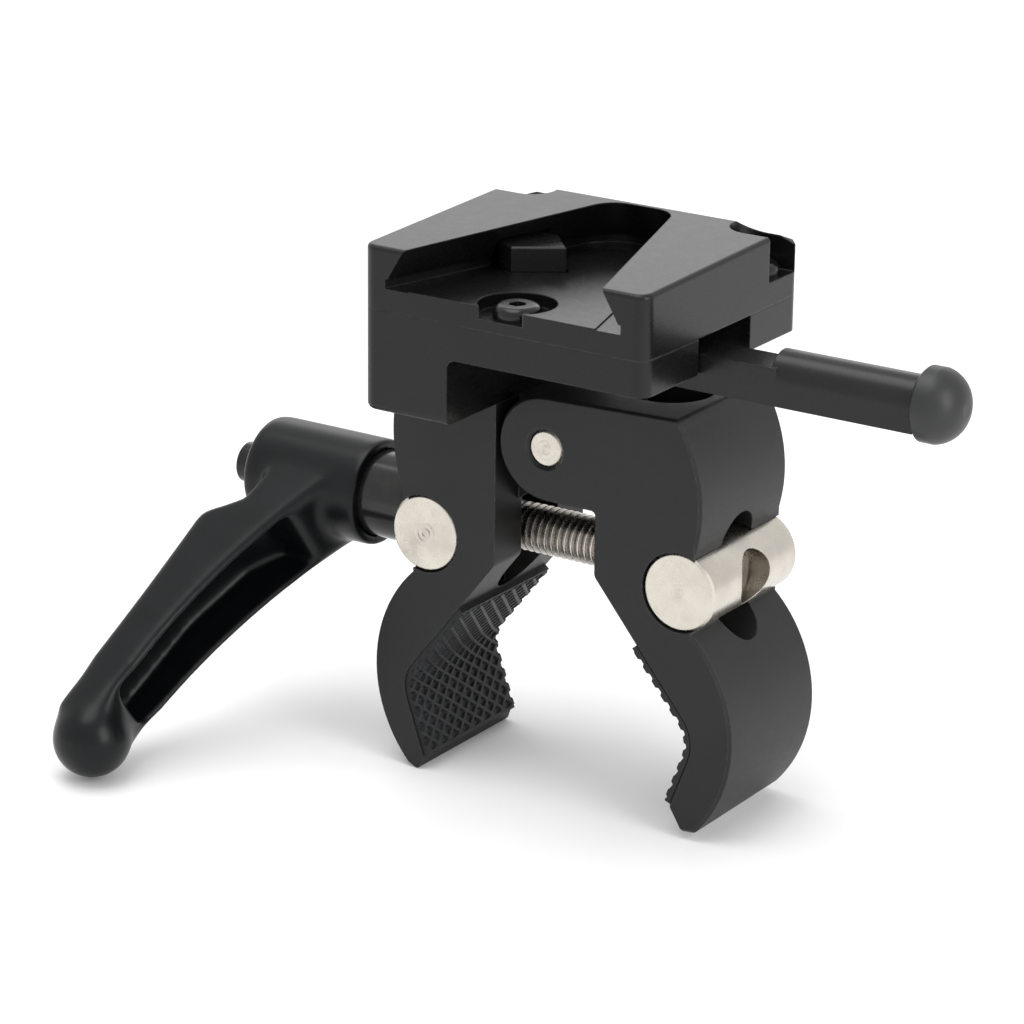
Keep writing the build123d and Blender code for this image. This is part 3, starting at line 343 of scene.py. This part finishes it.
class PadPath:
    """Gripping face of a pad in the jaw plane: two straight legs with a round bend between."""

    def __init__(self, corners, side):
        start, middle, end = (Vector(c) * MM for c in corners)
        self.first = (middle - start).normalized()
        self.second = (end - middle).normalized()
        self.side = side
        self.turn = self.first.angle_signed(self.second) * -1
        tangent = PAD_BEND_R * math.tan(abs(self.turn) / 2)
        self.start, self.leg = start, (middle - start).length - tangent
        self.arc = PAD_BEND_R * abs(self.turn)
        self.arc_start = start + self.first * self.leg
        self.arc_end = middle + self.second * tangent
        self.length = self.leg + self.arc + (end - middle).length - tangent

    def at(self, s):
        """Point and normal, which points to the gripped tube, at a distance along the face."""
        if s <= self.leg:
            point, along = self.start + self.first * s, self.first
        elif s >= self.leg + self.arc:
            point, along = self.arc_end + self.second * (s - self.leg - self.arc), self.second
        else:
            angle = (s - self.leg) / PAD_BEND_R * math.copysign(1, self.turn)
            along = Matrix.Rotation(angle, 2) @ self.first
            centre = self.arc_start + self.inwards(self.first) * PAD_BEND_R
            point = centre - self.inwards(along) * PAD_BEND_R
        return point, self.inwards(along)

    def inwards(self, along):
        return Vector((-along.y, along.x)) * self.side


def rib_height(s, y, length):
    """Height of the diamond net of ribs over the jaw's face, with a plain rim at both ends."""
    u, v = s / CELL_S, y / CELL_Y
    nearest = min(abs((u + v) % 2 - 1), abs((u - v) % 2 - 1))
    rib = min(1.0, max(0.0, (RIB_HALF_WIDTH - nearest) / RIB_FLANK))
    return PAD_GROUND + RIB_HEIGHT * (rib if RIM < s < length - RIM else RIM_SHARE)


def knurled_pad(name, corners, side):
    path = PadPath(corners, side)
    along = round(path.length / CELL_S) * CELL_STEPS
    across = round(PAD_DEPTH / CELL_Y) * CELL_STEPS
    points, faces = [], []

    def place(s, y, height):
        point, normal = path.at(s)
        flat = point + normal * height
        return (PIVOT.x + flat.x, y, PIVOT.z + flat.y)

    for i in range(along + 1):
        s = path.length * i / along
        for j in range(across + 1):
            y = PAD_DEPTH * (j / across - 0.5)
            points.append(place(s, y, rib_height(s, y, path.length)))
    row = across + 1
    for i in range(along):
        for j in range(across):
            a, b, c, d = i * row + j, i * row + j + 1, (i + 1) * row + j + 1, (i + 1) * row + j
            odd = (i // CELL_STEPS + j // CELL_STEPS) % 2
            faces += [(a, b, c), (a, c, d)] if odd else [(a, b, d), (b, c, d)]
    # sides and back, down to the jaw's recess
    rim = list(range(row)) + [i * row + across for i in range(1, along + 1)]
    rim += [along * row + j for j in range(across - 1, -1, -1)]
    rim += [i * row for i in range(along - 1, 0, -1)]
    first_back = len(points)
    for index in rim:
        i, j = divmod(index, row)
        points.append(place(path.length * i / along, PAD_DEPTH * (j / across - 0.5),
                            -PAD_BACK))
    for k, index in enumerate(rim):
        n = (k + 1) % len(rim)
        faces.append((index, rim[n], first_back + n, first_back + k))
    back_start = len(points)
    for i in range(along + 1):
        for y in (-PAD_DEPTH / 2, PAD_DEPTH / 2):
            points.append(place(path.length * i / along, y, -PAD_BACK))
    for i in range(along):
        a = back_start + 2 * i
        faces.append((a, a + 2, a + 3, a + 1))
    return mesh_object(name, points, faces)


def thread_profile(phase):
    """Radius of a rolled M8 thread at a phase of 0 to 1 along one pitch."""
    rise = min(1.0, max(0.0, (abs(phase - 0.5) * 2 - THREAD_ROOT_FLAT) / THREAD_FLANK))
    return THREAD_ROOT_R + (THREAD_CREST_R - THREAD_ROOT_R) * rise


def threaded_rod(name, start, end, plain_end):
    """Screw along X: plain up to plain_end, then one continuous helical thread."""
    points, faces = [], []
    around, per_pitch = THREAD_AROUND, THREAD_PER_PITCH
    steps = math.ceil((end - plain_end) / THREAD_PITCH * per_pitch) + per_pitch
    for step in range(-1, steps + 1):
        for turn in range(around):
            angle = 2 * math.pi * turn / around
            x, radius = start, THREAD_CREST_R
            if step >= 0:
                x = plain_end + THREAD_PITCH * (step / per_pitch + turn / around)
                run_in = min(1.0, max(0.0, (x - plain_end) / THREAD_PITCH))
                radius += (thread_profile((step / per_pitch) % 1.0) - THREAD_CREST_R) * run_in
                x = min(x, end)
            lead = max(0.0, x - (end - TIP_CHAMFER))
            radius = min(radius, THREAD_CREST_R - lead * TIP_SLOPE)
            points.append((x, radius * math.sin(angle), SCREW_Z + radius * math.cos(angle)))
    rows = len(points) // around
    for r in range(rows - 1):
        for turn in range(around):
            n = (turn + 1) % around
            a, d = r * around + turn, (r + 1) * around + turn
            b, c = r * around + n, (r + 1) * around + n
            if n == 0 and r > 0:
                # past a full turn the helix meets itself one pitch on
                b, c = b + per_pitch * around, c + per_pitch * around
                if c >= len(points):
                    continue
            faces.append((a, d, c, b))
    first, last = len(points), len(points) + 1
    points += [(start, 0, SCREW_Z), (end, 0, SCREW_Z)]
    for turn in range(around):
        n = (turn + 1) % around
        faces.append((first, turn, n))
        faces.append((last, (rows - 1) * around + n, (rows - 1) * around + turn))
    return mesh_object(name, points, faces, smooth_angle=35)


def blended_grip(name, node):
    """The handle with its hub, arm and tip run softly into each other, as a moulding's are."""
    made = mesh_object(name, [], [])
    made.data = node.data.copy()
    remesh = made.modifiers.new("remesh", "REMESH")
    remesh.mode = "VOXEL"
    remesh.voxel_size = GRIP_CELL
    graph = bpy.context.evaluated_depsgraph_get()
    mesh = bpy.data.meshes.new_from_object(made.evaluated_get(graph))
    made.modifiers.clear()
    made.data = mesh
    count = len(mesh.vertices)
    points = np.empty(count * 3)
    mesh.vertices.foreach_get("co", points)
    points = points.reshape(count, 3)
    pairs = np.empty(len(mesh.edges) * 2, dtype=np.int64)
    mesh.edges.foreach_get("vertices", pairs)
    first, second = pairs.reshape(-1, 2).T
    neighbours = np.bincount(np.concatenate([first, second]), minlength=count)[:, None]
    # the hub's mouth, bore and end keep their shape
    out = np.hypot(points[:, 1], points[:, 2] - SCREW_Z)
    from_rim = (LEFT_BARREL_X + HUB_RIM_X) - points[:, 0]
    mouth = (np.clip((out - HUB_BORE_R) / HUB_WALL_FADE, 0, 1)
             * np.clip(from_rim / HUB_RIM_FADE, 0, 1))
    hub_end = (np.clip((from_rim - HUB_END_START) / END_FADE, 0, 1)
               * np.clip((HUB_R + HUB_SKIN - out) / HUB_SKIN_FADE, 0, 1))
    free = (mouth * (1 - hub_end))[:, None]
    tip = np.clip((out - TIP_START) / END_FADE, 0, 1)[:, None]
    for weight in [free] * GRIP_PASSES + [tip] * TIP_PASSES:
        total = np.zeros_like(points)
        for axis in range(3):
            total[:, axis] = (np.bincount(first, points[second, axis], minlength=count)
                              + np.bincount(second, points[first, axis], minlength=count))
        points += GRIP_PULL * weight * (total / neighbours - points)
    mesh.vertices.foreach_set("co", points.ravel())
    mesh.update()
    mesh.shade_smooth()
    mesh.set_sharp_from_angle(angle=math.radians(GRIP_CREASE))
    return made


grip = blended_grip("handle_grip_blended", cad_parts["handle_grip"])
left_grip = knurled_pad("left_pad_ribs", LEFT_PAD_FACE, 1)
right_grip = knurled_pad("right_pad_ribs", RIGHT_PAD_FACE, -1)
screw = threaded_rod("clamp_screw_thread", LEFT_BARREL_X - SCREW_BEFORE,
                     LEFT_BARREL_X + SCREW_BEYOND, LEFT_BARREL_X + SCREW_PLAIN)

for piece, node, body, slot in (
    (left_grip, "left_pad", "frame", "pad_rubber"),
    (right_grip, "right_pad", "right_jaw", "pad_rubber"),
    (screw, "clamp_screw", "screw", "nickel"),
    (grip, "handle_grip", "handle", "black_plastic"),
):
    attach(piece, body)
    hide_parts(node)

# ------------------------------------------------------------------ finishes

satin = coated_metal("satin_anodised", 0.0045, 0.28, 0.10 * MM, 0.004 * MM, 0.35 * MM, 0.035,
                     1.38)
blasted = coated_metal("blasted_anodised", 0.0075, 0.46, 0.21 * MM, 0.022 * MM, 0.30 * MM, 0.07,
                       1.40)
lever_black = coated_metal("lever_black", 0.006, 0.28, 0.12 * MM, 0.003 * MM, 0.25 * MM, 0.04,
                           1.40)
handle_black = moulded("handle_plastic", 0.0030, 0.30, -0.22, 7 * MM, 0.005 * MM, 1.33)
cap_black = moulded("cap_plastic", 0.018, 0.40, -0.03, 5 * MM, 0.004 * MM, 1.46)
pad_black = rubber("ribbed_rubber")
thread = thread_steel("plated_thread", SCREW_Z)
pivot_nickel = nickel("pin_nickel", PIVOT)
left_nickel = nickel("left_barrel_nickel", (LEFT_BARREL_X, 0, SCREW_Z))
right_nickel = nickel("right_barrel_nickel", (RIGHT_BARREL_X, 0, SCREW_Z))
insert_steel = black_oxide("insert_black_steel", (0, 0, SCREW_Z), 0, 0.14, 0.018)
screw_steel = black_oxide("screw_black_steel", LEVER_PIVOT, 2, 0.14, 0.009)
spring_steel = thread_steel("spring_steel", SCREW_Z)

FINISH = {
    "v_lock_plate": satin, "base_block": satin, "catch": lever_black,
    "left_jaw": blasted, "right_jaw": blasted,
    "release_lever": lever_black, "lever_cap": cap_black,
    "handle_grip": handle_black, "handle_insert": insert_steel, "cap_screw": screw_steel,
    "plate_screws": screw_steel, "block_screws": screw_steel, "catch_screws": screw_steel,
    "lever_pivot_screw": screw_steel, "lever_spring": spring_steel,
    "pivot_pin": pivot_nickel, "left_barrel": left_nickel, "right_barrel": right_nickel,
    "retaining_ring": spring_steel, "thrust_washer": insert_steel,
    "left_pad": pad_black, "right_pad": pad_black, "clamp_screw": thread,
}
for name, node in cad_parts.items():
    node.data.materials.clear()
    node.data.materials.append(FINISH[name])
left_grip.data.materials.append(pad_black)
right_grip.data.materials.append(pad_black)
screw.data.materials.append(thread)
grip.data.materials.clear()
grip.data.materials.append(handle_black)

# ------------------------------------------------------------------ floor, light and camera

FLOOR_GAP, FLOOR_SIZE = 0.05 * MM, 6.0
WORLD_LEVEL = 0.95

floor_z = cad_box[0][2] - FLOOR_GAP
bpy.ops.mesh.primitive_plane_add(size=FLOOR_SIZE, location=(0, 0, floor_z))
floor = bpy.context.object
floor.name = "floor"
pale = Finish("pale_floor")
paper = pale.noise(30 * MM, 3.0)
pale.finish(pale.mix(pale.span(paper, 0.3, 0.7), grey(0.90), grey(0.93)), 0.9)
floor.data.materials.append(pale.material)

world = bpy.data.worlds.new("studio")
bpy.context.scene.world = world
world.use_nodes = True
background = world.node_tree.nodes["Background"]
background.inputs["Color"].default_value = (1.0, 1.0, 1.0, 1.0)
background.inputs["Strength"].default_value = WORLD_LEVEL


def softbox(name, place, target, width, height, power):
    light = bpy.data.lights.new(name, "AREA")
    light.shape = "RECTANGLE"
    light.size, light.size_y, light.energy = width, height, power
    made = bpy.data.objects.new(name, light)
    made.location = place
    aim = Vector(target) - Vector(place)
    made.rotation_mode = "QUATERNION"
    made.rotation_quaternion = aim.to_track_quat("-Z", "Y")
    bpy.context.scene.collection.objects.link(made)


softbox("top_softbox", (-0.15, -0.10, 0.75), (0, 0, -0.03), 0.7, 0.5, 3.0)
softbox("side_softbox", (0.75, -0.20, 0.30), (0, 0, -0.04), 0.35, 0.6, 2.5)
softbox("low_back_softbox", (-0.60, 0.90, 0.40), (0, 0, 0), 1.1, 0.35, 1.1)

CAMERA_PLACE = Vector((321.5, -513.8, 171.6)) * MM
CAMERA_AZIMUTH, CAMERA_ELEVATION, CAMERA_ROLL = 33.22, 19.23, -0.66    # degrees
CAMERA_LENS, CAMERA_SENSOR = 142.5, 36.0    # mm
azimuth, elevation, roll = (math.radians(a) for a in
                            (CAMERA_AZIMUTH, CAMERA_ELEVATION, CAMERA_ROLL))
back = Vector((math.sin(azimuth) * math.cos(elevation),
               -math.cos(azimuth) * math.cos(elevation), math.sin(elevation)))
right = Vector((math.cos(azimuth), math.sin(azimuth), 0))
up = back.cross(right)
rolled_right = right * math.cos(roll) - up * math.sin(roll)
rolled_up = right * math.sin(roll) + up * math.cos(roll)
camera = bpy.data.objects.new("camera", bpy.data.cameras.new("camera"))
camera.data.sensor_width = CAMERA_SENSOR
camera.data.lens = CAMERA_LENS
camera.data.clip_start = 0.01
camera.data.clip_end = 50.0
camera.matrix_world = Matrix.Translation(CAMERA_PLACE) @ Matrix(
    (rolled_right, rolled_up, back)).transposed().to_4x4()
bpy.context.scene.collection.objects.link(camera)
bpy.context.scene.camera = camera
bpy.context.scene.view_settings.view_transform = "Standard"
